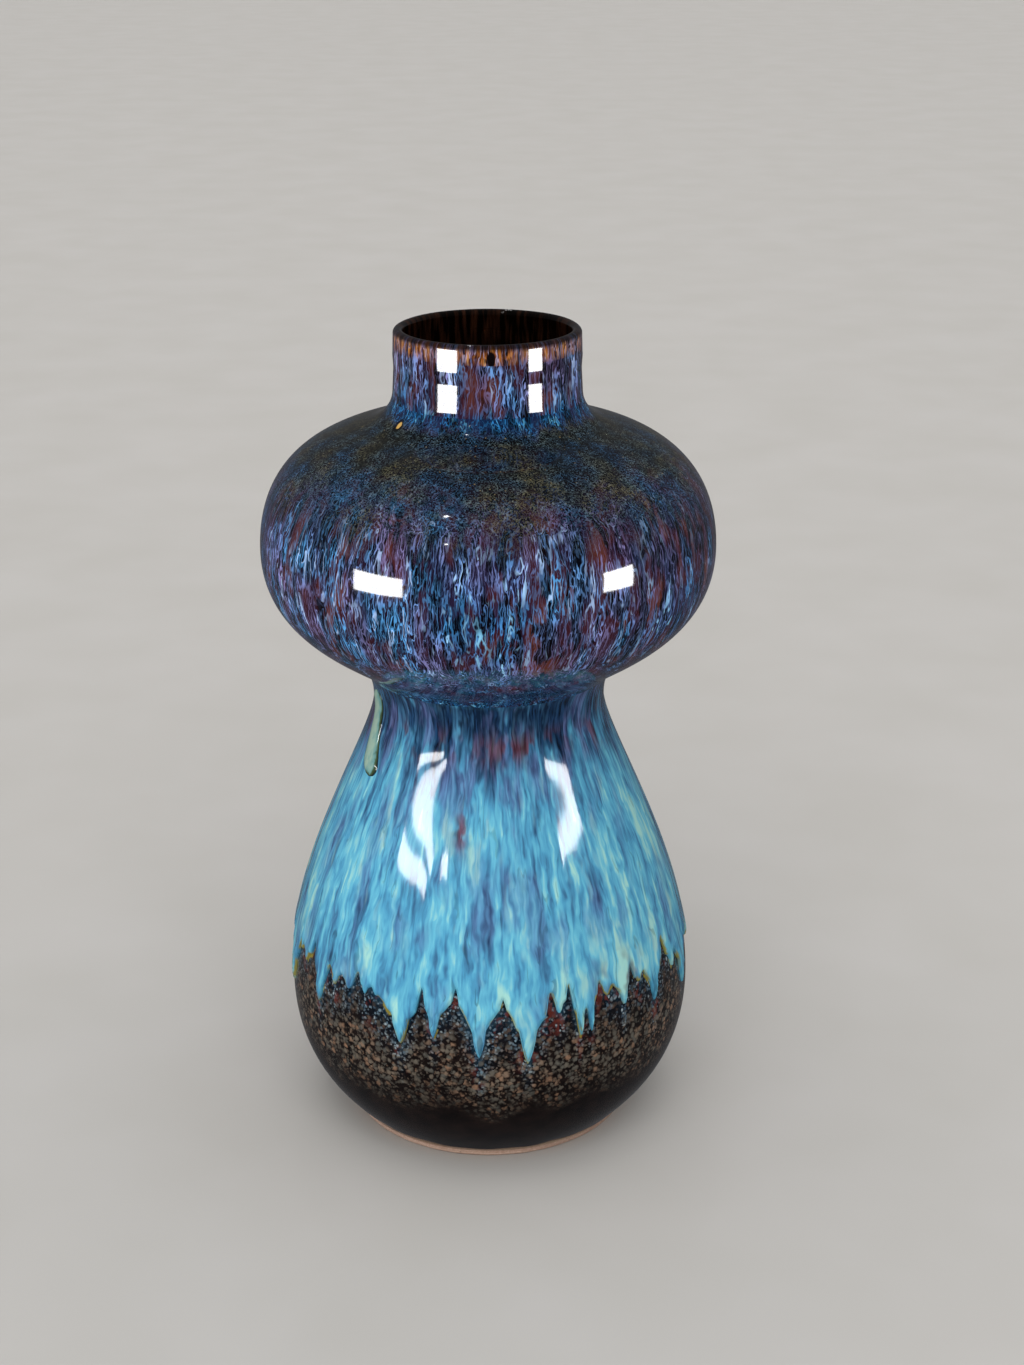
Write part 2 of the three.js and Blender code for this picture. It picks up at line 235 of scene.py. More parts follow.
def waves(theta, level, seed, count, size, low_turns, high_turns, rise):
    """A seeded sum of smooth waves round and up the vase, as uneven as a hand-made surface."""
    rng = np.random.default_rng(seed)
    total = np.zeros(np.broadcast(theta, level).shape)
    for _ in range(count):
        turns = rng.integers(low_turns, high_turns + 1)
        lean = rng.uniform(-rise, rise)
        total += np.sin(turns * theta + lean * level + rng.uniform(0, 2 * math.pi))
    return size * total / math.sqrt(count)


def relief(theta, level):
    """The unevenness of the thrown and glazed outside, in millimetres, with one low throwing
    ring on the neck."""
    ring = by_level(level, (185, 0), (190.8, -0.14), (193.8, 0.14), (198.5, 0))
    return waves(theta, level, 3, 7, 0.05, 2, 9, 0.09) + ring


# ---- Meshes ----


class Section:
    """The closed section of a turned piece: lines of (radius, level) rows in order round it."""

    def __init__(self, outside, inside, on_axis=False):
        self.rows = np.vstack([outside, inside])
        self.outside_rows = len(outside)
        self.on_axis = on_axis


def shell(outer, inner, low, high, row=ROW, inner_row=INNER_ROW):
    """The section between two lines, from one level to another."""
    return Section(stretch(outer, low, high, row), stretch(inner, low, high, inner_row)[::-1])


# The UV layout: for the outside and for the inside, the number of islands side by side and one
# above the other, then the start, the pitch and the size of the islands.
OUTSIDE_ISLANDS = (4, (0.004, 0.003), (0.5, 0.465), (0.492, 0.457))
INSIDE_ISLAND = (1, (0, 0.935), (0, 0), (1, 0.064))


def quad_uv(left, right, low, high):
    """The UVs of quads whose corners run round from the low left one."""
    left, right, low, high = np.broadcast_arrays(left, right, low, high)
    u, v = np.stack([left, right, right, left], axis=-1), np.stack([low, low, high, high], axis=-1)
    return np.stack([u, v], axis=-1)


def unwrap(radius, level, outside_rows, looped):
    """UVs of every quad, laid out so that nothing overlaps: the outside fills four big islands,
    one to a quarter of the vase, and the inside fills a strip above them."""
    rows, columns = radius.shape
    middle = np.stack([radius.mean(axis=1), level.mean(axis=1)])
    step = np.maximum(np.hypot(*(np.roll(middle, -1, axis=1) - middle)), 1e-3)
    spans = rows if looped else rows - 1
    outer = np.arange(spans) < outside_rows - 1
    column = np.arange(columns)
    uv = np.zeros((spans, columns, 4, 2))
    for chosen, (count, start, pitch, size) in ((outer, OUTSIDE_ISLANDS), (~outer, INSIDE_ISLAND)):
        if not chosen.any():
            continue
        part = columns // count
        island = column // part
        left = start[0] + island % 2 * pitch[0] + column % part / part * size[0]
        foot = start[1] + island // 2 * pitch[1]
        ends = np.concatenate([[0], np.cumsum(step[:spans][chosen])])[:, None]
        low, high = foot + ends[:-1] / ends[-1] * size[1], foot + ends[1:] / ends[-1] * size[1]
        uv[chosen] = quad_uv(left, left + size[0] / part, low, high)
    return uv


def quads(index, looped):
    """Quads between the rows of a grid of points, whose columns go round."""
    here, there = index, np.roll(index, -1, axis=0)
    if not looped:
        here, there = here[:-1], there[:-1]
    return np.stack([here, np.roll(here, -1, 1), np.roll(there, -1, 1), there], axis=-1).reshape(-1, 4)


def new_mesh(name, points, faces, uv, attributes, sharp):
    """A smooth mesh with UVs and point attributes, sharp where faces meet at over some degrees."""
    mesh = bpy.data.meshes.new(name)
    mesh.from_pydata((points * MM).tolist(), [], faces)
    mesh.uv_layers.new(name="OFBake").data.foreach_set("uv", np.array(uv, np.float32).ravel())
    mesh.polygons.foreach_set("use_smooth", [True] * len(mesh.polygons))
    mesh.set_sharp_from_angle(angle=math.radians(sharp))
    for key, values in attributes.items():
        kind, slot = ("FLOAT", "value") if values.shape[-1] == 1 else ("FLOAT_VECTOR", "vector")
        made = mesh.attributes.new(key, kind, "POINT")
        made.data.foreach_set(slot, np.asarray(values, np.float32).ravel())
    return mesh


def turned_mesh(name, theta, radius, level, outside_rows, attributes, on_axis=False):
    """A closed mesh from rows of points round the axis. With on_axis, the first and the last row
    are single points on the axis and the rows aren't joined end to end."""
    uv = unwrap(radius, level, outside_rows, not on_axis).reshape(-1, 4, 2)
    points = flow_place(theta, radius, level).reshape(-1, 3)
    index = np.arange(radius.size).reshape(radius.shape)
    if on_axis:
        index[0, :], index[-1, :] = 0, radius.size - 1
    used, faces = np.unique(quads(index, not on_axis), return_inverse=True)
    corners, corner_uv = [], []
    for face, place in zip(faces.reshape(-1, 4).tolist(), uv.tolist()):
        keep = [k for k in range(4) if face[k] != face[k - 1]]
        corners.append([face[k] for k in keep])
        corner_uv.extend(place[k] for k in keep)
    tables = {key: values.reshape(radius.size, -1)[used] for key, values in attributes.items()}
    return new_mesh(name, points[used], corners, corner_uv, tables, 50)


def flow_place(theta, radius, length):
    """A point round the axis: of the vase, or of the texture space of a glaze that flowed down."""
    radius, length = np.broadcast_arrays(radius, length)
    return np.stack([radius * np.sin(theta), -radius * np.cos(theta), length], axis=-1)


def in_scene(name, data):
    """A new object in the scene."""
    made = bpy.data.objects.new(name, data)
    bpy.context.scene.collection.objects.link(made)
    return made


def piece(mesh, material, node):
    """Puts a piece into the scene, on the vase's one body, in place of a CAD node."""
    made = in_scene(mesh.name, mesh)
    mesh.materials.append(material)
    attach(made, "root")
    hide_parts(node)


def turned_piece(name, section, material, node, look=None, uneven=None):
    """A turned piece. look gives its attributes from angle and level; uneven moves its outside."""
    theta = (np.arange(AROUND) * 2 * math.pi / AROUND)[None, :]
    radius, level = (np.repeat(section.rows[:, k:k + 1], AROUND, axis=1) for k in (0, 1))
    if uneven is not None:
        outside = np.arange(len(section.rows)) < section.outside_rows
        radius, level = uneven(theta, radius, level, outside[:, None])
    attributes = look(theta, level) if look else {}
    mesh = turned_mesh(name, theta, radius, level, section.outside_rows, attributes, section.on_axis)
    piece(mesh, material, node)


def with_relief(theta, radius, level, outside):
    """Moves the outside of a coat by the relief."""
    return radius + np.where(outside, relief(theta, level), 0), level


# ---- Material graphs ----


def paint(red, green, blue):
    """A colour from sRGB parts of 255."""
    parts = (red / 255, green / 255, blue / 255)
    return (*(c / 12.92 if c <= 0.04 else ((c + 0.055) / 1.055) ** 2.4 for c in parts), 1.0)


SEED_MOVE = (17.3, -29.1, 11.7)  # how far one seed moves a pattern
MIX_FIRST, MIX_SECOND, MIX_RESULT = 6, 7, 2  # the colour sockets of a Mix node


class Graph:
    """Builds the nodes of one material by plain calls. A colour is a socket or sRGB parts of 255."""

    def __init__(self, name, roughness, ior=1.5):
        self.material = bpy.data.materials.new(name)
        self.material.use_nodes = True
        self.tree = self.material.node_tree
        self.shader = self.tree.nodes["Principled BSDF"]
        self.shader.inputs["Roughness"].default_value = roughness
        self.shader.inputs["IOR"].default_value = ior

    def put(self, socket, value):
        if isinstance(value, bpy.types.NodeSocket):
            self.tree.links.new(value, socket)
        else:
            socket.default_value = value

    def node(self, kind, inputs, **settings):
        """A new node, with its inputs by name or number."""
        made = self.tree.nodes.new("ShaderNode" + kind)
        for key, value in settings.items():
            setattr(made, key, value)
        for key, value in inputs.items():
            self.put(made.inputs[key], value)
        return made

    def value(self, name):
        return self.node("Attribute", {}, attribute_name=name).outputs["Fac"]

    def vector(self, name):
        return self.node("Attribute", {}, attribute_name=name).outputs["Vector"]

    def place(self):
        """The position on the piece, in millimetres."""
        return self.scaled(self.node("TexCoord", {}).outputs["Object"], 1 / MM, 1 / MM)

    def math(self, operation, *values):
        return self.node("Math", dict(enumerate(values)), operation=operation).outputs[0]

    def vector_math(self, operation, first, second):
        return self.node("VectorMath", {0: first, 1: second}, operation=operation).outputs[0]

    def add(self, *values):
        return functools.reduce(lambda total, value: self.math("ADD", total, value), values)

    def times(self, *values):
        return functools.reduce(lambda total, value: self.math("MULTIPLY", total, value), values)

    def step(self, value, start, end):
        """0 before start and 1 after end, smoothly; start may be the larger."""
        limits = {"Value": value, "From Min": start, "From Max": end}
        return self.node("MapRange", limits, interpolation_type="SMOOTHSTEP").outputs["Result"]

    def scaled(self, vector, across, along_flow, seed=0):
        """A place stretched along the flow, and moved far off by a seed for a pattern of its own."""
        moved = tuple(seed * part for part in SEED_MOVE)
        inputs = {"Vector": vector, "Location": moved, "Scale": (across, across, along_flow)}
        return self.node("Mapping", inputs).outputs["Vector"]

    def noise(self, vector, scale=1.0, detail=2.0, rough=0.5, output="Fac"):
        inputs = {"Vector": vector, "Scale": scale, "Detail": detail, "Roughness": rough}
        return self.node("TexNoise", inputs).outputs[output]

    def streaks(self, vector, across, along_flow, seed=0, **settings):
        """Noise in a place stretched along the flow."""
        return self.noise(self.scaled(vector, across, along_flow, seed), **settings)

    def cells(self, vector):
        return self.node("TexVoronoi", {"Vector": vector, "Scale": 1.0}, feature="F1").outputs

    def bend(self, vector, scale, size, along_flow=1.0, seed=0):
        """A place pushed about by noise: scale per millimetre, size in millimetres."""
        wander = self.streaks(vector, scale, scale * along_flow, seed, output="Color")
        centred = self.vector_math("SUBTRACT", wander, (0.5, 0.5, 0.5))
        sized = self.node("VectorMath", {0: centred, "Scale": size * 2}, operation="SCALE").outputs[0]
        return self.vector_math("ADD", vector, sized)

    def threads(self, vector, across, along_flow, width, seed=0, detail=1.0):
        """Thin winding lines: 1 on a line and 0 away from it."""
        field = self.streaks(vector, across, along_flow, seed, detail=detail)
        away = self.math("ABSOLUTE", self.math("SUBTRACT", field, 0.5))
        return self.step(away, width, 0.3 * width)

    def patches(self, vector, across, along_flow, start, end, seed=0, detail=1.0):
        """Patches of a stretched noise between two thresholds."""
        field = self.streaks(vector, across, along_flow, seed, detail=detail)
        return self.step(field, start, end)

    def grains(self, vector, scale, size, soft, share, seed=0):
        """Scattered grains: each cell has one with some chance, and its own size."""
        cells = self.cells(self.scaled(vector, scale, scale, seed))
        chance, width, own = self.node("SeparateColor", {0: cells["Color"]}).outputs
        away = self.math("DIVIDE", cells["Distance"], self.math("MULTIPLY_ADD", width, 0.6, 0.7))
        near = self.step(away, size + soft, size - soft)
        return self.times(near, self.math("LESS_THAN", chance, share)), own

    def drops(self, vector, across, along_flow, seed=0):
        """Streaks like drops: round and bright at the lower end, and fading upwards."""
        stretched = self.scaled(vector, across, along_flow, seed)
        away = self.vector_math("SUBTRACT", stretched, self.cells(stretched)["Position"])
        x, y, z = self.node("SeparateXYZ", {0: away}).outputs
        aside = self.math("SQRT", self.add(self.times(x, x), self.times(y, y)))
        tail = self.times(self.step(z, -0.42, -0.3), self.step(z, 0.6, -0.25))
        return self.times(self.step(aside, 0.42, 0.2), tail)

    def mix(self, amount, first, second):
        """The first colour, covered by the second by an amount from 0 to 1."""
        first, second = (paint(*c) if isinstance(c, tuple) else c for c in (first, second))
        inputs = {"Factor": amount, MIX_FIRST: first, MIX_SECOND: second}
        return self.node("Mix", inputs, data_type="RGBA", clamp_factor=True).outputs[MIX_RESULT]

    def ramp(self, value, *stops):
        """A colour that changes with a value, through (value, colour) stops."""
        made = self.node("ValToRGB", {"Fac": value})
        elements = made.color_ramp.elements
        while len(elements) < len(stops):
            elements.new(1.0)
        for element, (position, colour) in zip(elements, stops):
            element.position, element.color = position, paint(*colour)
        return made.outputs["Color"]

    def finish(self, colour, roughness=None, height=None, bump=0.0):
        """The finished material. bump is the depth of the height's relief in millimetres."""
        self.put(self.shader.inputs["Base Color"], colour)
        if roughness is not None:
            self.put(self.shader.inputs["Roughness"], roughness)
        if height is not None:
            made = self.node("Bump", {"Strength": 1.0, "Distance": bump * MM, "Height": height})
            self.put(self.shader.inputs["Normal"], made.outputs["Normal"])
        return self.material


# ---- Materials ----


def clay_material(name, light, dark, roughness):
    """Fired clay: fine grain, faint turning lines and a few dark specks."""
    g = Graph(name, roughness)
    place = g.place()
    grain = g.noise(place, 2.4, detail=4.0, rough=0.65)
    rings = g.streaks(place, 0.05, 2.2)
    tone = g.add(g.times(grain, 0.7), g.times(rings, 0.5))
    colour = g.ramp(tone, (0.42, dark), (0.78, light))
    specks, _ = g.grains(place, 1.1, 0.16, 0.06, 0.25)
    colour = g.mix(g.times(specks, 0.7), colour, (74, 52, 40))
    rough = g.math("MULTIPLY_ADD", grain, 0.16, roughness - 0.08)
    return g.finish(colour, rough, g.add(grain, g.times(rings, 0.6)), 0.12)


def flowing_colours(g, size=1.0):
    """Blue and lavender threads in a clear dark glaze, with maroon windows and black gaps. A size
    over 1 makes the threads and gaps larger than on the globe, and the windows smaller."""
    flow, veil, blue = g.vector("flow"), g.value("veil"), g.value("blue")
    bent = g.bend(g.bend(flow, 0.1, 1.2, 0.5, 3), 0.42, 0.75 * size, 0.55)
    slow = g.streaks(flow, 0.085, 0.06, 5, detail=1.5)
    body = g.ramp(slow, (0.36, (10, 12, 30)), (0.5, (34, 17, 32)), (0.62, (56, 24, 28)))
    body = g.mix(g.times(blue, 0.8), body, (8, 28, 60))
    windows = g.streaks(bent, 0.14 * size, 0.07 * size, 9)
    maroon = g.times(g.step(windows, 0.46, 0.57), g.value("rust"))
    body = g.mix(maroon, body, g.mix(g.step(windows, 0.55, 0.66), (50, 20, 27), (78, 38, 27)))
    gaps = g.patches(bent, 0.42 / size, 0.1 / size, 0.48, 0.57, 13, detail=2.0)
    body = g.mix(g.times(gaps, 0.95), body, (2, 3, 8))
    clumps = g.patches(bent, 0.24, 0.075, 0.43, 0.6, 21, detail=2.5)
    fine = g.threads(bent, 1.25 / size, 0.135 / size, 0.052, 31)
    finer = g.threads(bent, 2.3 / size, 0.26 / size, 0.06, 37)
    broad = g.threads(bent, 0.66 / size, 0.075 / size, 0.036, 41)
    tint = g.streaks(flow, 0.14, 0.06, 45, detail=1.0)
    thread = g.ramp(tint, (0.36, (148, 132, 184)), (0.5, (118, 138, 194)), (0.64, (84, 150, 206)))
    thread = g.mix(blue, thread, (48, 136, 202))
    over_maroon = g.math("SUBTRACT", 1.0, g.times(maroon, 0.4))
    density = g.times(g.add(0.36, g.times(clumps, 0.64)), veil, over_maroon)
    threads = g.times(g.add(fine, g.times(finer, 0.3)), density)
    body = g.mix(g.math("MINIMUM", threads, 0.95), body, thread)
    bright = g.times(broad, g.patches(bent, 0.5, 0.11, 0.52, 0.6, 51), density)
    return g.mix(bright, body, g.mix(blue, (170, 190, 232), (116, 202, 240))), bent


def skin(g, bent):
    """The height of the faint waves in a coat's surface."""
    return g.streaks(bent, 0.9, 0.3, 81)


NECK_THREADS = 1.5  # the size of the neck's threads


def violet_material():
    """The globe's glaze: specks on the shoulder, and threads on the wall and underneath."""
    g = Graph("violet glaze", 0.06, 1.52)
    body, bent = flowing_colours(g)
    place = g.place()
    dust = g.threads(g.bend(place, 0.8, 0.45), 1.5, 1.2, 0.05, 61, detail=2.0)
    clumps = g.patches(place, 0.3, 0.3, 0.42, 0.6, 63, detail=2.0)
    dots = g.step(g.noise(place, 1.9, rough=0.6), 0.57, 0.66)
    tone = g.streaks(place, 0.1, 0.1, 65)
    night = g.ramp(tone, (0.4, (2, 5, 11)), (0.6, (9, 10, 8)))
    dusty = g.ramp(tone, (0.38, (70, 114, 152)), (0.5, (102, 124, 132)), (0.62, (116, 114, 88)))
    dust = g.times(dust, g.add(0.4, g.times(clumps, 0.6)))
    grain = g.times(g.add(dust, g.times(dots, 0.7)), g.value("dust"))
    shoulder = g.mix(g.math("MINIMUM", grain, 0.9), night, dusty)
    gold, _ = g.grains(place, 0.9, 0.14, 0.06, 0.16, 71)
    shoulder = g.mix(g.times(gold, 0.5), shoulder, (150, 128, 84))
    colour = g.mix(g.value("speck"), body, shoulder)
    # A dark ring with a gold middle by the neck: a painted reflection in a small bubble.
    colour = g.mix(g.times(g.step(g.value("drop"), 0.1, 0.25), 0.8), colour, (8, 8, 8))
    colour = g.mix(g.step(g.value("drop"), 0.5, 0.7), colour, (188, 150, 84))
    return g.finish(colour, None, skin(g, bent), 0.003)


def neck_material():
    """The neck's glaze: dense pale threads over violet and maroon."""
    g = Graph("neck glaze", 0.06, 1.52)
    body, bent = flowing_colours(g, NECK_THREADS)
    return g.finish(body, None, skin(g, bent), 0.006)


def lip_material():
    """The lip's glaze: near black on top and inside, an amber band outside broken by streaks."""
    g = Graph("lip glaze", 0.06, 1.52)
    body, bent = flowing_colours(g, NECK_THREADS)
    streak = g.streaks(bent, 1.0, 0.11, 91, detail=2.5)
    warm = g.ramp(streak, (0.38, (18, 9, 8)), (0.47, (88, 46, 22)), (0.57, (152, 94, 42)),
                  (0.7, (200, 150, 88)))
    amber = g.value("amber")
    colour = g.mix(amber, body, warm)
    pale = g.threads(bent, 0.9, 0.08, 0.045, 93)
    colour = g.mix(g.times(pale, amber, 0.75), colour, (164, 152, 178))
    cuts = g.threads(bent, 0.6, 0.08, 0.03, 95)
    colour = g.mix(g.times(cuts, amber, 0.8), colour, (20, 11, 12))
    colour = g.mix(g.value("top"), colour, inside_streaks(g))
    colour = g.mix(g.step(g.value("eye"), 0.35, 0.6), colour, (9, 5, 6))
    return g.finish(colour, None, skin(g, bent), 0.003)


def inside_streak(g):
    return g.noise(g.scaled(g.vector("inner_flow"), 0.8, 0.1, 91))


def inside_streaks(g):
    """The inside's colour under the lip: brown streaks on near black."""
    return g.ramp(inside_streak(g), (0.44, (4, 2, 1)), (0.7, (44, 23, 13)))


def liner_material():
    """The inside glaze: near-black brown, with faint brown streaks under the lip."""
    g = Graph("liner glaze", 0.1)
    streak = inside_streak(g)
    dark = g.ramp(streak, (0.4, (3, 1, 1)), (0.66, (14, 6, 4)))
    return g.finish(g.mix(g.value("amber"), dark, inside_streaks(g)), None, streak, 0.01)


def turquoise_material():
    """The lower glaze: turquoise, blue and violet streaks that end in ochre-edged drips, under a
    dark and maroon band at the waist."""
    g = Graph("turquoise glaze", 0.06, 1.52)
    flow = g.vector("flow")
    bent = g.bend(flow, 0.22, 1.7, 0.5)
    broad = g.streaks(flow, 0.13, 0.05, 3)
    medium = g.streaks(bent, 0.42, 0.06, 7, rough=0.55)
    fine = g.streaks(bent, 1.2, 0.16, 11, detail=1.5)
    drops = g.add(g.times(g.drops(bent, 0.36, 0.045, 13), 0.13), g.times(g.drops(bent, 0.7, 0.085, 17), 0.1))
    thick = g.add(g.times(medium, 0.9), g.times(fine, 0.4), g.times(broad, 0.8), drops, g.value("light"))
    colour = g.ramp(thick, (0.14, (16, 38, 64)), (0.3, (46, 82, 116)), (0.44, (66, 120, 158)),
                    (0.58, (82, 158, 196)), (0.74, (106, 188, 214)), (0.94, (164, 218, 212)))
    for name, shape, low, high in (
        ("violet", (0.17, 0.06, 0.5, 0.66, 19, 3.0), (70, 76, 124), (106, 126, 178)),
        ("dark", (0.3, 0.1, 0.46, 0.6, 27, 2.0), (8, 24, 44), (34, 70, 112)),
        ("rust", (0.2, 0.12, 0.44, 0.56, 23, 2.0), (64, 30, 38), (116, 80, 100)),
    ):
        patch = g.times(g.patches(bent, *shape), g.value(name))
        colour = g.mix(patch, colour, g.ramp(fine, (0.35, low), (0.65, high)))
    tips = g.times(g.drops(bent, 0.5, 0.07, 29), g.patches(bent, 0.2, 0.08, 0.5, 0.62, 31), g.value("cream"))
    colour = g.mix(g.times(tips, 0.45), colour, (160, 214, 214))
    slits = g.times(g.threads(bent, 0.5, 0.06, 0.04, 35), g.patches(bent, 0.3, 0.08, 0.55, 0.62, 37))
    colour = g.mix(g.times(slits, 0.6, g.value("cream")), colour, (36, 62, 70))
    edge = g.add(g.value("edge"), g.times(g.math("SUBTRACT", g.noise(flow, 0.7), 0.5), 0.8))
    uneven = g.patches(flow, 0.22, 0.1, 0.46, 0.58, 39)
    colour = g.mix(g.times(g.step(edge, 1.3, 0.4), 0.3), colour, (40, 112, 140))
    colour = g.mix(g.times(g.step(edge, 0.75, 0.3), uneven, 0.9), colour, (150, 140, 52))
    height = g.add(g.times(medium, 0.7), g.times(fine, 0.3))
    return g.finish(colour, None, height, 0.01)


def dark_material():
    """The base glaze: brown-black and glossy, with tan specks, and blue ones under the drips."""
    g = Graph("dark glaze", 0.06, 1.52)
    place = g.place()
    bent = g.bend(place, 1.1, 0.5)
    tan_zone, blue_zone = g.value("tan"), g.value("haze")
    ground = g.ramp(g.noise(place, 0.25), (0.35, (14, 10, 10)), (0.65, (28, 20, 18)))
    ground = g.mix(blue_zone, ground, (8, 18, 28))
    grain, own = g.grains(bent, 0.78, 0.46, 0.22, 0.85, 3)
    crumbs, other = g.grains(bent, 1.25, 0.4, 0.22, 0.7, 7)
    thin = g.step(g.streaks(place, 0.35, 0.35, 9), 0.3, 0.55)
    warm = g.ramp(own, (0.0, (92, 91, 85)), (0.6, (116, 106, 94)), (1.0, (146, 114, 92)))
    cool = g.ramp(other, (0.0, (48, 74, 96)), (0.7, (112, 136, 150)), (1.0, (176, 190, 196)))
    colour = g.mix(g.times(grain, tan_zone, thin, 0.95), ground, warm)
    colour = g.mix(g.times(crumbs, tan_zone, 0.6), colour, warm)
    colour = g.mix(g.times(crumbs, blue_zone, 0.9), colour, cool)
    rust = g.patches(bent, 0.26, 0.18, 0.55, 0.62, 13, detail=2.0)
    rust = g.times(rust, g.patches(bent, 0.8, 0.6, 0.36, 0.56, 14))
    colour = g.mix(g.times(rust, blue_zone, 0.85), colour, (104, 46, 36))
    under_edge = g.patches(bent, 0.34, 0.2, 0.42, 0.58, 15)
    colour = g.mix(g.times(g.value("halo"), under_edge, 0.8), colour, (30, 66, 86))
    ochre = g.patches(bent, 0.3, 0.12, 0.56, 0.62, 17)
    colour = g.mix(g.times(g.step(g.value("halo"), 0.45, 0.7), ochre, 0.85), colour, (150, 136, 52))
    return g.finish(colour, g.add(0.06, g.times(grain, tan_zone, 0.06)), g.times(grain, tan_zone), 0.04)


def run_material():
    """The thick run: pale turquoise in the middle, dark olive and blue at its sides."""
    g = Graph("run glaze", 0.05, 1.52)
    mottle = g.times(g.math("SUBTRACT", g.streaks(g.place(), 0.7, 0.3, 3), 0.5), 0.7)
    height = g.add(g.value("rise"), mottle)
    return g.finish(g.ramp(height, (0.1, (34, 58, 84)), (0.3, (36, 42, 26)), (0.52, (72, 92, 66)),
                           (0.7, (110, 158, 156)), (0.95, (158, 186, 170))))


# ---- Clay pieces ----


def foot_ring(material):
    """The bare ring that the vase stands on, with worn round edges."""
    inner, edge = FOOT_RADIUS - FOOT_RING_WIDTH, FOOT_RING_EDGE
    turn = np.radians(np.linspace(0, 90, 7))
    inner_edge = np.stack([inner + edge - edge * np.cos(turn), edge - edge * np.sin(turn)], axis=1)
    outer_edge = np.stack([FOOT_RADIUS - edge + edge * np.sin(turn), edge - edge * np.cos(turn)], axis=1)
    face = np.linspace(inner_edge[-1], outer_edge[0], 6)[1:-1]
    sole = np.vstack([inner_edge, face, outer_edge, [(FOOT_RADIUS, FOOT_RING_HEIGHT)]])
    back = np.array([(inner, FOOT_RING_HEIGHT)])

    def worn(theta, radius, level, outside):
        return radius + waves(theta, level, 8, 6, 0.04, 3, 30, 0.5), level

    turned_piece("foot_ring_bare_clay", Section(sole, back), material, "foot_ring", uneven=worn)


def lower_clay(material):
    """The lower bulb's clay, with its floor."""
    floor = LINER_FOOT - LINER_GAP
    outside = np.vstack([
        np.linspace((0, FLOOR_UNDER), (GLAZE_LINE_RADIUS - LOWER_CLAY, FLOOR_UNDER), 14)[:-1],
        stretch(inset(LOWER_CLAY), FLOOR_UNDER, LOWER_CLAY_TOP, CLAY_ROW),
    ])
    wall = stretch(CLAY_INSIDE, floor, LOWER_CLAY_TOP, INNER_ROW)[::-1]
    bottom = np.linspace((wall[-1][0], floor), (0, floor), 9)[1:]
    section = Section(outside, np.vstack([wall, bottom]), on_axis=True)
    turned_piece("lower_bulb_clay", section, material, "lower_body")


def globe_clay(material):
    section = shell(inset(GLOBE_CLAY), CLAY_INSIDE, GLOBE_CLAY_FOOT, GLOBE_CLAY_TOP, CLAY_ROW)
    turned_piece("globe_clay", section, material, "upper_body")


def slip_line(name, node, depth, material):
    """A ring of slip in the joint between two sections."""
    section = shell(inset(depth), CLAY_INSIDE, *low_high(node, 2), inner_row=ROW)
    turned_piece(name, section, material, node)


def over_lip(radius, steps=14):
    """A half circle over the lip, from its outside to its inside."""
    turn = np.radians(np.linspace(0, 180, steps + 1))
    return np.stack([LIP_CENTRE[0] + radius * np.cos(turn), LIP_CENTRE[1] + radius * np.sin(turn)], axis=1)


def neck_clay(material):
    outside = stretch(inset(NECK_CLAY), COLLAR_FOOT, LIP_CENTRE[1], 1.5)[:-1]
    inside = stretch(CLAY_INSIDE, COLLAR_FOOT, LIP_CENTRE[1], NECK_INNER_ROW)[::-1][1:]
    section = Section(np.vstack([outside, over_lip(LIP_ROUND - NECK_CLAY)]), inside)
    turned_piece("neck_collar_clay", section, material, "neck_collar")


# ---- Glaze coats ----


def base_look(theta, level):
    """The tan specks low down, the blue haze under the drips and the halo along their edge."""
    wander = waves(theta, level, 12, 6, 2.0, 3, 24, 0.05)
    at = level + wander
    under = drip_edge(theta + 0 * level) - level
    return {
        "tan": by_level(at, (19, 0), (27, 0.7), (34, 1), (41, 0.5), (48, 0.15)),
        "haze": np.clip(1.15 - under / 10 + 0.1 * wander, 0, 1) ** 1.3,
        "halo": np.exp(-np.clip(under, 0, None) / 1.6),
    }


def base_glaze(material):
    """The dark coat all over the lower bulb; its lower edge is a wavy, rounded glaze line."""
    section = shell(inset(DRIP_GLAZE), inset(BASE_GLAZE), GLAZE_FOOT, WAIST_JOINT)
    edge = np.array([(section.rows[0][0] - 0.2, GLAZE_FOOT - 0.12)])
    outside, inside = np.split(section.rows, [section.outside_rows])

    def wavy(theta, radius, level, outer):
        near = np.clip(1 - (level - GLAZE_FOOT) / 3, 0, 1)
        radius = radius + np.where(outer, relief(theta, level) * (1 - near), 0)
        return radius, level + near * waves(theta, level * 0, 21, 7, 0.14, 2, 22, 0)

    section = Section(np.vstack([edge, outside]), inside)
    turned_piece("base_glaze_coat", section, material, "base_glaze", base_look, wavy)


# The globe's wall, between its underside and its shoulder, and the level whose radius its texture
# has all over the wall.
WALL_FOOT, WALL_TOP, WALL_MIDDLE = 132, 164, 148


def globe_flow_radius(level):
    """The texture radius: the wall keeps one radius, so its threads stay long; the shoulder and
    the underside follow the true radius, so theirs are short."""
    from_wall = np.where(level <= WALL_FOOT, radius_at(WALL_FOOT), radius_at(WALL_TOP))
    on_wall = (level > WALL_FOOT) & (level < WALL_TOP)
    return np.where(on_wall, radius_at(WALL_MIDDLE), radius_at(level) + GLOBE_RADIUS - from_wall)


# Places in degrees and level: a gold spot by the neck, painted as the reflection in a small bubble, and a
# dark eye in the lip's band.
BUBBLE_REFLECTION_PLACE = (-55, 180)
EYE = (2.6, 196.9)


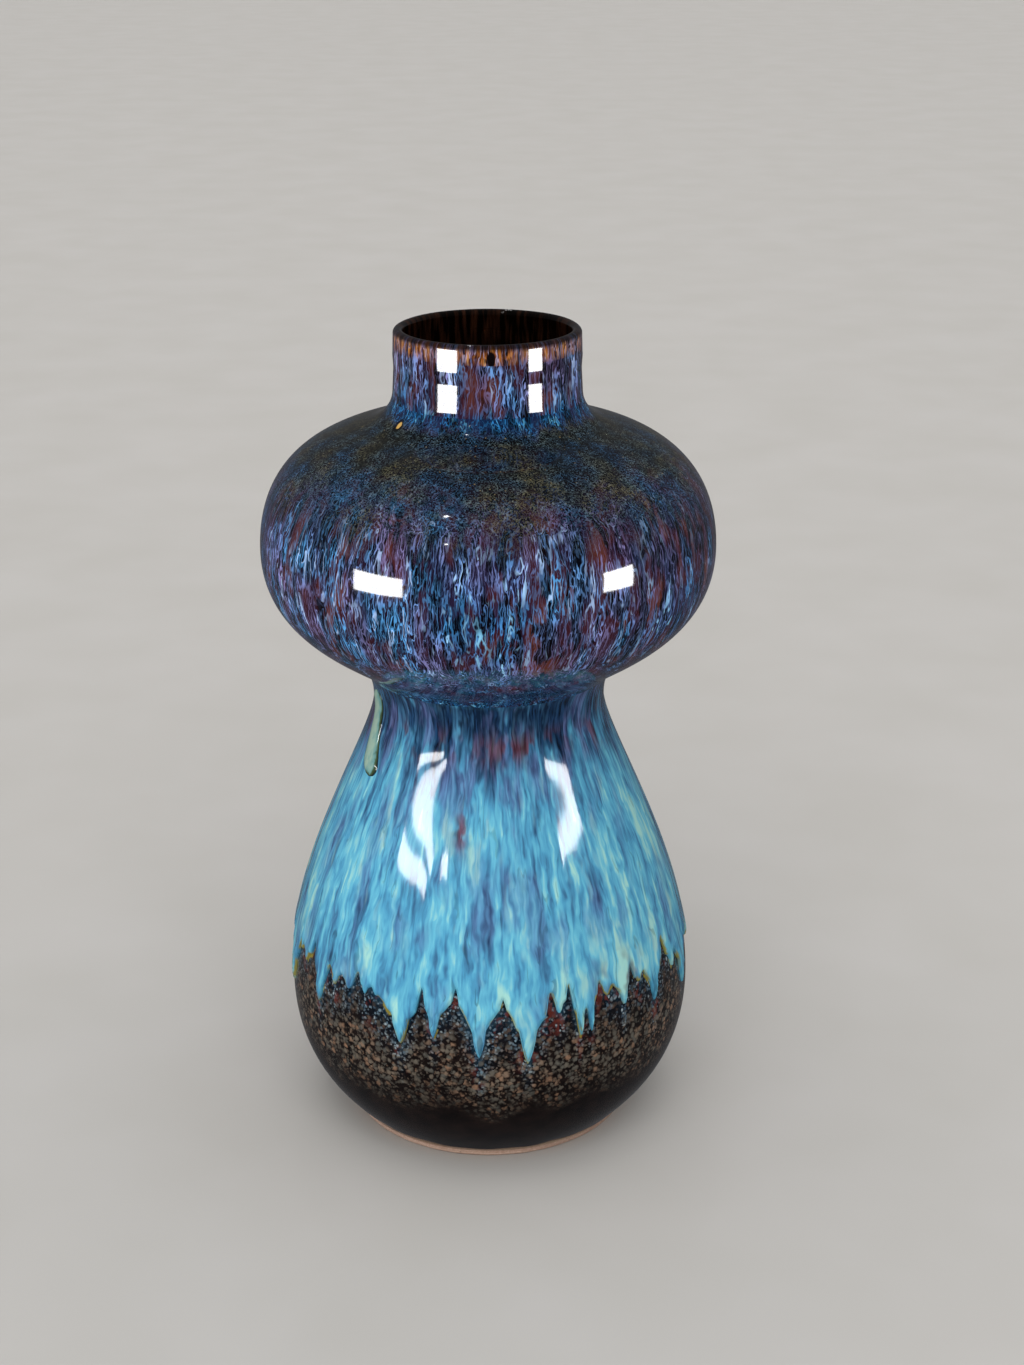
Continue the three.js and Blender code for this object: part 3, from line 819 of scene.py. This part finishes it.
def globe_look(theta, level):
    """Where the globe is bluer, paler in threads, specked, dusty and maroon; fewer threads on its right side,
    as painted shade; and a gold spot in a dark ring, painted as the reflection in a small bubble.
    """
    centre = spot(theta, level, 0, 143, 12, 14)
    blues = spots(theta, level, (52, 138, 14, 16), (-78, 146, 12, 18), (128, 142, 16, 15), (186, 140, 15, 14))
    low_ring = by_level(level, (117, 1), (121, 0.7), (125, 0))
    at = level + waves(theta, level, 31, 8, 2.2, 3, 26, 0.1)
    drift = waves(theta, level, 33, 8, 0.5, 6, 40, 0.2)
    neck_foot = by_level(level + drift, (179.4, 0), (181, 0.8), (183.5, 1))
    # Painted shade: the pale threads thin out over a broad spot on the globe's right side, to darken that
    # side.
    painted_shade_right = spot(theta, level, 72, 152, 26, 26)
    blue = 0.12 + 0.7 * centre + 0.55 * blues + 0.8 * low_ring + neck_foot
    veil = by_level(at, (117, 0.75), (124, 0.5), (130, 0.65), (138, 1), (153, 0.95), (165, 0.42),
                    (174, 0.3), (177, 0.35)) * (1 - 0.4 * painted_shade_right) + 0.2 * neck_foot
    speck = by_level(at, (158, 0), (166, 0.3), (172, 0.85), (177, 1)) * (1 - neck_foot)
    rust = by_level(at, (119, 0.3), (126, 0.6), (134, 1), (156, 1), (166, 0.5), (172, 0.1))
    # Where the painted reflection in a small bubble lies, across and along the flow.
    across = np.radians(around(theta, BUBBLE_REFLECTION_PLACE[0])) * radius_at(BUBBLE_REFLECTION_PLACE[1])
    along_flow = length_at(level) - length_at(BUBBLE_REFLECTION_PLACE[1])
    return {
        "flow": flow_place(theta, globe_flow_radius(level), length_at(level)),
        "blue": np.clip(blue, 0, 1) + 0 * theta,
        "veil": veil,
        "speck": speck,
        "dust": by_level(at, (158, 1), (167, 0.9), (173, 0.5), (179, 0.34), (183, 0.5)),
        "rust": rust,
        "drop": np.exp(-((across / 0.95) ** 2) - (along_flow / 1.35) ** 2),
    }


def globe_glaze(material):
    section = shell(OUTLINE, inset(GLOBE_GLAZE), WAIST_JOINT, NECK_JOINT)
    turned_piece("globe_glaze_coat", section, material, "globe_glaze",
                 globe_look, with_relief)


INNER_FLOW_RADIUS = 22.0  # the texture radius of the inside's streaks


def neck_look(theta, level):
    at = level + waves(theta, level, 41, 8, 1.2, 3, 30, 0.2)
    return {
        "flow": flow_place(theta, globe_flow_radius(level), length_at(level)),
        "blue": by_level(at, (183.5, 0.9), (185, 0.45), (187.5, 0.1), (196, 0)),
        "veil": by_level(at, (183.5, 0.65), (188, 0.85), (194, 1.1), (197, 0.9)),
        "rust": by_level(at, (183.5, 0.35), (187, 0.8), (193, 0.65), (197, 0.5)),
    }


def neck_glaze(material):
    section = shell(OUTLINE, inset(NECK_GLAZE), NECK_JOINT, LIP_BAND, 0.6, NECK_INNER_ROW)
    turned_piece("neck_glaze_coat", section, material, "neck_glaze", neck_look, with_relief)


def lip_glaze(material):
    """The coat over the lip: outside, over the top and down the inside."""
    outer, inner = over_lip(LIP_ROUND, 20), over_lip(LIP_ROUND - NECK_GLAZE)
    side = np.linspace(LIP_BAND, LIP_CENTRE[1], 9)[:-1, None]
    outside_wall = np.hstack([np.full_like(side, outer[0][0]), side])
    inside_wall = np.hstack([np.full_like(side, outer[-1][0]), side])[::-1]
    under = np.array([(inner[-1][0], LIP_BAND), *inner[::-1], (inner[0][0], LIP_BAND)])
    section = Section(np.vstack([outside_wall, outer, inside_wall]), under)

    def look(theta, level):
        row = np.arange(level.shape[0])[:, None]
        past_top = np.clip((row - len(outside_wall) - 3) / 6.0, 0, 1) + 0 * theta
        wander = waves(theta, 0 * level, 51, 9, 0.35, 9, 60, 0)
        band = by_level(level + wander, (195.2, 0), (197.2, 1), (198.6, 1), (199.4, 0.4))
        depth = 0.75 + waves(theta, 0 * level, 53, 9, 0.3, 12, 60, 0)
        halo = spot(theta, level, EYE[0], EYE[1] + 0.3, 5.0, 2.2)
        return {
            **neck_look(theta, level),
            "inner_flow": flow_place(theta, INNER_FLOW_RADIUS, level),
            "amber": np.clip(band * (1 - past_top) * depth + halo, 0, 1),
            "top": np.maximum(past_top, by_level(level, (198.4, 0), (199.3, 0.9))),
            "eye": spot(theta, level, *EYE, 2.8, 2.2) * (1 - past_top),
        }

    turned_piece("lip_glaze_coat", section, material, "lip_glaze", look, with_relief)


def liner_look(theta, level):
    wander = waves(theta, 0 * level, 61, 7, 1.5, 5, 40, 0)
    return {
        "inner_flow": flow_place(theta, INNER_FLOW_RADIUS, level),
        "amber": by_level(level + wander, (182, 0), (190, 0.45), (194, 1)),
    }


def liner_glaze(material):
    """The inside coat in two lengths, which meet level with the waist joint."""
    top = LINER_FOOT + LINER_GLAZE
    wet = stretch(LINER_INSIDE, top, WAIST_JOINT, LINER_ROW)[::-1]
    wet = np.vstack([wet, np.linspace((wet[-1][0], top), (0, top), 12)[1:]])
    back = stretch(LINER_OUTSIDE, LINER_FOOT, WAIST_JOINT, INNER_ROW)
    floor = np.linspace((0, LINER_FOOT), (back[0][0], LINER_FOOT), 12)[:-1]
    lower = Section(np.vstack([floor, back]), wet, on_axis=True)
    wet = stretch(LINER_INSIDE, WAIST_JOINT, LINER_TOP, LINER_ROW)[::-1]
    upper = Section(wet, stretch(LINER_OUTSIDE, WAIST_JOINT, LINER_TOP, INNER_ROW))
    for name, section in (("liner_glaze_lower", lower), ("liner_glaze_upper", upper)):
        turned_piece(name, section, material, "liner_glaze", liner_look)


DRIP_EDGE = 50.5  # the level of the lower glaze's edge between its drips
# The drips: place in degrees, level of the tip, half width in degrees, and lean towards +X.
DRIPS = (
    (-56, 39.5, 5, 0.3), (-49, 46.5, 3, 0), (-43, 47, 3.5, 0), (-37, 47.5, 2.5, 0),
    (-24.5, 37.5, 7, -0.2), (-15, 40.5, 4, 0.1), (-2.5, 36, 5.5, 0.2), (10.5, 34.2, 7.5, 0.4),
    (20, 46, 3, 0), (26, 38.6, 2.8, 0.1), (29.5, 40, 2.6, 0), (35, 47.5, 2.5, 0),
    (41, 43.5, 3.4, 0), (47.5, 47.5, 2.5, 0), (54, 40.5, 4.2, 0.2), (66, 45, 3.5, 0),
    (74, 37.5, 6, 0.1), (84, 46, 3, 0), (92, 42.5, 5, 0), (101, 46.5, 3, 0),
    (112, 35.5, 7, -0.2), (122, 46, 3, 0), (131, 41.5, 5, 0), (141, 46.5, 3.5, 0),
    (150, 38.5, 6, 0.2), (160, 46, 3, 0), (169, 43, 4.5, 0), (179, 46.5, 3, 0),
    (-66, 46.5, 3.5, 0), (-78, 36.5, 7, 0.1), (-89, 46, 3, 0), (-98, 42, 5, 0),
    (-108, 47, 3, 0), (-117, 38.5, 6, -0.1), (-128, 46, 3.5, 0), (-138, 43.5, 4.5, 0),
    (-147, 46.5, 3, 0), (-156, 36.5, 7, 0.2), (-165, 46, 3, 0), (-173, 41.5, 4.5, 0),
)

# The slits that cut up into the edge between drips: place in degrees, height, half width in degrees.
SLITS = (
    (-52, 2.5, 1.6), (-40, 3, 1.4), (-18.8, 4, 1.1), (-9, 3, 0.9), (4.2, 2, 0.8), (17.6, 5, 1.4),
    (23.2, 3.5, 1), (33, 2.5, 1.2), (44.5, 3, 1.2), (61, 4, 1.6), (80, 3.5, 1.5), (96, 3, 1.4),
    (107, 4, 1.2), (126, 3, 1.5), (145, 3.5, 1.3), (156, 2.5, 1), (174, 3.5, 1.4), (-61, 3, 1.5),
    (-72, 3, 1.3), (-84, 4, 1.4), (-103, 3, 1.3), (-123, 3.5, 1.5), (-142, 3, 1.2), (-161, 4, 1.4),
)


def drip_edge(theta):
    """The level of the lower glaze's edge: blunt fingers on skirts that meet in narrow notches."""
    edge = DRIP_EDGE + waves(theta, 0 * theta, 71, 12, 0.7, 9, 90, 0)
    lowest = edge.copy()
    for at, tip, half, lean in DRIPS:
        away = around(theta, at + lean * half)
        side = np.abs(away + lean * half * np.exp(-((away / half) ** 2))) / half
        skirt = np.clip(1 - side / 1.35, 0, 1) ** 1.15
        finger = np.sqrt(np.clip(1 - (side / 0.36) ** 2, 0, 1))
        lowest = np.minimum(lowest, edge - (edge - tip) * (0.72 * skirt + 0.28 * finger))
    for at, height, half in SLITS:
        lowest = lowest + height * np.clip(1 - np.abs(around(theta, at)) / half, 0, 1) ** 0.7
    return lowest + waves(theta, 0 * theta, 73, 10, 0.16, 60, 190, 0)


FAR = 12.0  # beyond this the distance to the edge doesn't matter
# The heights above the edge of the flowing coat's rows next to it.
NEAR_EDGE = np.array([0, 0.1, 0.25, 0.45, 0.7, 1.0, 1.35, 1.75, 2.2, 2.8, 3.5, 4.3, 5.2, 6.2, 7.4, 8.8])


def distance_to_edge(level, edge):
    """How far each point of the coat is from the edge curve, on the unrolled surface."""
    best = np.full(level.shape, FAR)
    column = BELLY_RADIUS * 2 * math.pi / level.shape[1]
    reach = int(FAR / column)
    for shift in range(-reach, reach + 1):
        best = np.minimum(best, np.hypot(shift * column, level - np.roll(edge, -shift)[None, :]))
    return best


def drip_look(theta, level, edge):
    """Where the lower glaze is light, violet, dark, maroon and creamy. edge is how far its edge is."""
    at = level + waves(theta, 0 * level, 81, 8, 3.0, 2, 20, 0)
    top = by_level(at, (84, 0), (98, 0.6), (108, 1))
    rust = spots(theta, level, (-34, 106, 16, 3.5), (16, 106, 26, 3.2), (66, 106, 12, 4), (120, 105, 22, 4),
                 (-100, 105, 24, 4), (178, 106, 22, 4), (-10, 88, 3, 5), (40, 52, 8, 4))
    light = 0.06 * spot(theta, level, 62, 66, 34, 30)
    light += by_level(at, (36, 0.05), (44, -0.04), (60, -0.08), (90, -0.12), (97, -0.17), (103, -0.28),
                      (110, -0.43), (117, -0.48))
    return {
        "flow": flow_place(theta, 45.0, length_at(level)),
        "light": light - 0.36,
        "violet": np.clip(0.36 + 0.4 * top, 0, 1),
        "dark": by_level(at, (98, 0), (103, 0.4), (108, 0.9)),
        "rust": np.clip(rust, 0, 1),
        "cream": by_level(level, (40, 0.9), (56, 0.6), (90, 0.45), (104, 0.1)) + 0 * theta,
        "edge": edge,
    }


def drip_glaze(material):
    """The flowing coat: thick and round at its drips, ending level with the waist joint."""
    theta = (np.arange(DRIP_AROUND) * 2 * math.pi / DRIP_AROUND)[None, :]
    edge = drip_edge(theta)[0]
    above = edge + NEAR_EDGE[:, None]
    level = np.vstack([above, above[-1] + np.linspace(0, 1, 58)[1:, None] * (WAIST_JOINT - above[-1])])
    distance = distance_to_edge(level, edge)
    rough = relief(theta, level)
    base = inset(DRIP_GLAZE)
    floor = np.interp(level, base[:, 1], base[:, 0]) + rough
    full = radius_at(level) + rough
    rounding = np.sqrt(1 - (1 - np.clip(distance / EDGE_ROUND, 0, 1)) ** 2)
    bead = BEAD * np.exp(-(((distance - 1.6) / 1.2) ** 2)) * by_level(level, (44, 1), (52, 0.25), (60, 0))
    hang = by_level(level, (60, 1), (100, 0.35), (114, 0))
    runs = hang * waves(theta, level, 83, 14, 0.07, 14, 60, 0.02)
    radius = floor + (full - floor + bead + runs) * rounding
    radius[0] = floor[0] - BEDDED
    back_level = edge + np.linspace(1, 0, 16)[:-1, None] * (WAIST_JOINT - edge)
    back = np.interp(back_level, base[:, 1], base[:, 0]) + relief(theta, back_level) - BEDDED
    outside_rows = len(radius)
    radius, level = np.vstack([radius, back]), np.vstack([level, back_level])
    look = drip_look(theta, level, np.vstack([distance, np.full_like(back, FAR)]))
    mesh = turned_mesh("lower_drip_glaze_coat", theta, radius, level, outside_rows, look)
    piece(mesh, material, "lower_drip_glaze")


# The thick run on the left of the waist: angles in degrees, half widths and height in millimetres.
RUN = {"top_at": -70, "tip_at": -60, "halves": ((0, 3.2), (0.4, 2.9), (0.6, 3.3), (0.85, 4)),
       "round_from": 0.82, "proud": 0.8, "sunk": 0.2, "rows": 60, "arc": 24}


def glaze_run(material):
    """A tongue of glaze that follows the outside of the lower bulb, with a low round back."""
    rows, arc = RUN["rows"], RUN["arc"]
    down = np.linspace(0, 1, rows + 1)[:, None]
    turn = np.linspace(0, math.pi, arc + 1)
    level = RUN_TOP + (RUN_TIP - RUN_TOP) * down
    middle = np.radians(RUN["top_at"] + (RUN["tip_at"] - RUN["top_at"]) * down * down)
    past = np.clip(down - RUN["round_from"], 0, None) / (1.002 - RUN["round_from"])
    tip = np.sqrt(1 - past * past)
    ends = np.minimum(1, np.sqrt((down + 0.002) / 0.08)) * tip
    back = RUN["proud"] * ends * np.sin(turn) ** 1.5 - BEDDED
    out = np.hstack([back, np.full_like(back, -RUN["sunk"])])
    aside = by_level(down, *RUN["halves"]) * ends * np.cos(np.hstack([turn, turn[::-1]]))
    surface = radius_at(level)
    points = flow_place(middle + aside / surface, surface + out, level).reshape(-1, 3)
    rise = np.hstack([np.sin(turn) * tip, np.zeros_like(back)])
    count = 2 * (arc + 1)
    index = np.arange(len(points)).reshape(rows + 1, count)
    faces = quads(index, False).tolist()
    i, j = (grid.ravel() for grid in np.indices((rows, count)))
    uv = quad_uv(j / count, (j + 1) / count, 0.04 + 0.92 * i / rows, 0.04 + 0.92 * (i + 1) / rows)
    j = np.arange(arc)
    for ring, foot in ((index[0], 0.0), (index[-1], 0.965)):
        cap = np.stack([ring[:arc], ring[:arc + 1:-1], ring[-2:arc:-1], ring[1:arc + 1]], axis=-1)
        place = quad_uv(2 * j / count, 2 * (j + 1) / count, foot, foot + 0.035)[:, [0, 3, 2, 1]]
        if foot:
            cap, place = cap[:, ::-1], place[:, ::-1]
        faces += cap.tolist()
        uv = np.concatenate([uv, place])
    mesh = new_mesh("glaze_run_tongue", points, faces, uv, {"rise": rise.reshape(-1, 1)}, 60)
    piece(mesh, material, "glaze_run")


# ---- Stage ----


def pale_floor():
    """A plain pale floor that runs past the horizon of every view."""
    half = 30.0
    corners = [(-half, -half, 0), (half, -half, 0), (half, half, 0), (-half, half, 0)]
    mesh = bpy.data.meshes.new("pale_floor")
    mesh.from_pydata(corners, [], [(0, 1, 2, 3)])
    g = Graph("pale floor", 0.85)
    mottle = g.noise(g.place(), 0.02)
    mesh.materials.append(g.finish(g.ramp(mottle, (0.3, (198, 195, 190)), (0.7, (202, 199, 195)))))
    floor = in_scene("pale_floor", mesh)
    floor.visible_glossy = False


def new_light(name, kind, energy):
    """A light that the camera doesn't see."""
    data = bpy.data.lights.new(name, kind)
    data.energy = energy
    light = in_scene(name, data)
    light.visible_camera = False
    return light


def aimed(azimuth, elevation):
    """A unit vector from the vase. Azimuth 0 is the front, in degrees, + towards +X."""
    a, e = math.radians(azimuth), math.radians(elevation)
    return np.array((math.cos(e) * math.sin(a), -math.cos(e) * math.cos(a), math.sin(e)))


def window_light(name, azimuth, wide, low, high, seen_from, radiance, pieces, distance=0.9):
    """A bright upright panel that reaches only these pieces, and which they see over some degrees
    from a level in metres."""
    bottom, top = (distance * math.tan(math.radians(e)) for e in (low, high))
    width, height = 2 * distance * math.tan(math.radians(wide / 2)), top - bottom
    light = new_light(name, "AREA", radiance * math.pi * width * height)
    light.data.shape = "RECTANGLE"
    light.data.size, light.data.size_y = width, height
    light.location = aimed(azimuth, 0) * distance
    light.location.z = seen_from + (bottom + top) / 2
    light.rotation_euler = (math.radians(90), 0, math.radians(azimuth))
    chosen = bpy.data.collections.new(name + " shines on")
    for piece_name in pieces:
        chosen.objects.link(bpy.data.objects[piece_name])
    light.light_linking.receiver_collection = chosen


def sky_light(name, azimuth, elevation, spread, strength):
    """A broad soft light from far away, which gives no reflection of its own."""
    light = new_light(name, "SUN", strength)
    light.data.angle = math.radians(spread)
    light.rotation_euler = (math.radians(90 - elevation), 0, math.radians(azimuth))
    light.visible_glossy = False


def lamp(name, azimuth, elevation, radius, power):
    """A small bright lamp, for the sparks on the shoulder."""
    light = new_light(name, "POINT", power)
    light.data.shadow_soft_size = radius
    light.location = aimed(azimuth, elevation) * LAMP_DISTANCE


WINDOW = 24  # the radiance of the windows that the glaze mirrors
LAMP_DISTANCE = 2.0


def lights():
    globe = ("globe_glaze_coat",)
    neck = ("neck_glaze_coat", "lip_glaze_coat", "liner_glaze_upper")
    lower = ("lower_drip_glaze_coat", "base_glaze_coat", "glaze_run_tongue", "foot_ring_bare_clay")
    soft = 0.7 * WINDOW
    for side, azimuth, wide in (("left", -53, 26), ("right", 65, 17)):
        window_light("globe window " + side, azimuth, wide, -10.5, 2, 0.153, WINDOW, globe, 0.78)
    for side, azimuth, wide in (("left", -50, 24), ("right", 58, 18)):
        window_light("neck window " + side, azimuth, wide, -12.8, 0, 0.19, WINDOW, neck, 0.78)
    window_light("lower window left, top pane", -59, 50, 16.6, 19.5, 0.09, soft, lower)
    window_light("lower window left", -52.5, 26, 11.6, 14.8, 0.09, soft, lower)
    window_light("lower window right", 62, 17, 13.8, 16.6, 0.09, soft, lower)
    sky_light("overhead", 0, 80, 110, 2.2)
    sky_light("front", 0, 35, 60, 1.1)
    lamp("lamp behind", -173, 52, 0.02, 1.5)
    lamp("lamp left", -40, 68, 0.02, 1.5)
    lamp("lamp front", -23, 41, 0.015, 0.8)


def surroundings():
    """A dim room for the glaze to reflect, a little brighter behind, and pale where the camera
    looks past the floor."""
    world = bpy.data.worlds.new("room")
    world.use_nodes = True
    nodes, link = world.node_tree.nodes, world.node_tree.links.new
    parts = nodes.new("ShaderNodeSeparateXYZ")
    link(nodes.new("ShaderNodeTexCoord").outputs["Generated"], parts.inputs[0])
    strength = nodes.new("ShaderNodeMapRange")
    link(parts.outputs["Y"], strength.inputs["Value"])
    limits = {"From Min": -0.5, "From Max": 1.0, "To Min": 0.03, "To Max": 0.1}
    for key, value in limits.items():
        strength.inputs[key].default_value = value
    room, backdrop = nodes["Background"], nodes.new("ShaderNodeBackground")
    room.inputs["Color"].default_value = (0.95, 0.95, 1.0, 1)
    backdrop.inputs["Color"].default_value = paint(192, 189, 186)
    link(strength.outputs["Result"], room.inputs["Strength"])
    chosen = nodes.new("ShaderNodeMixShader")
    link(nodes.new("ShaderNodeLightPath").outputs["Is Camera Ray"], chosen.inputs[0])
    link(room.outputs[0], chosen.inputs[1])
    link(backdrop.outputs[0], chosen.inputs[2])
    link(chosen.outputs[0], nodes["World Output"].inputs["Surface"])
    bpy.context.scene.world = world


def camera():
    """The photograph's view, from in front of the vase and above it."""
    data = bpy.data.cameras.new("camera")
    data.sensor_width, data.lens = 36, 60.66
    data.clip_start, data.clip_end = 0.01, 100
    made = in_scene("camera", data)
    made.location = (0.005655, -0.52707, 0.30804)
    made.rotation_euler = (math.radians(90 - 20.387), 0, 0)
    bpy.context.scene.camera = made
    bpy.context.scene.view_settings.view_transform = "Standard"


# ---- The vase ----

camera()
pale_floor()
surroundings()

bare = clay_material("bare clay", (206, 178, 160), (158, 124, 106), 0.8)
clay = clay_material("clay under glaze", (188, 164, 142), (146, 118, 96), 0.85)
slip = clay_material("slip", (170, 144, 120), (132, 106, 84), 0.88)
foot_ring(bare)
lower_clay(clay)
slip_line("waist_slip_line", "waist_slip_seam", LOWER_CLAY, slip)
globe_clay(clay)
slip_line("neck_slip_line", "neck_slip_seam", GLOBE_CLAY, slip)
neck_clay(clay)
base_glaze(dark_material())
drip_glaze(turquoise_material())
globe_glaze(violet_material())
neck_glaze(neck_material())
lip_glaze(lip_material())
liner_glaze(liner_material())
glaze_run(run_material())
lights()
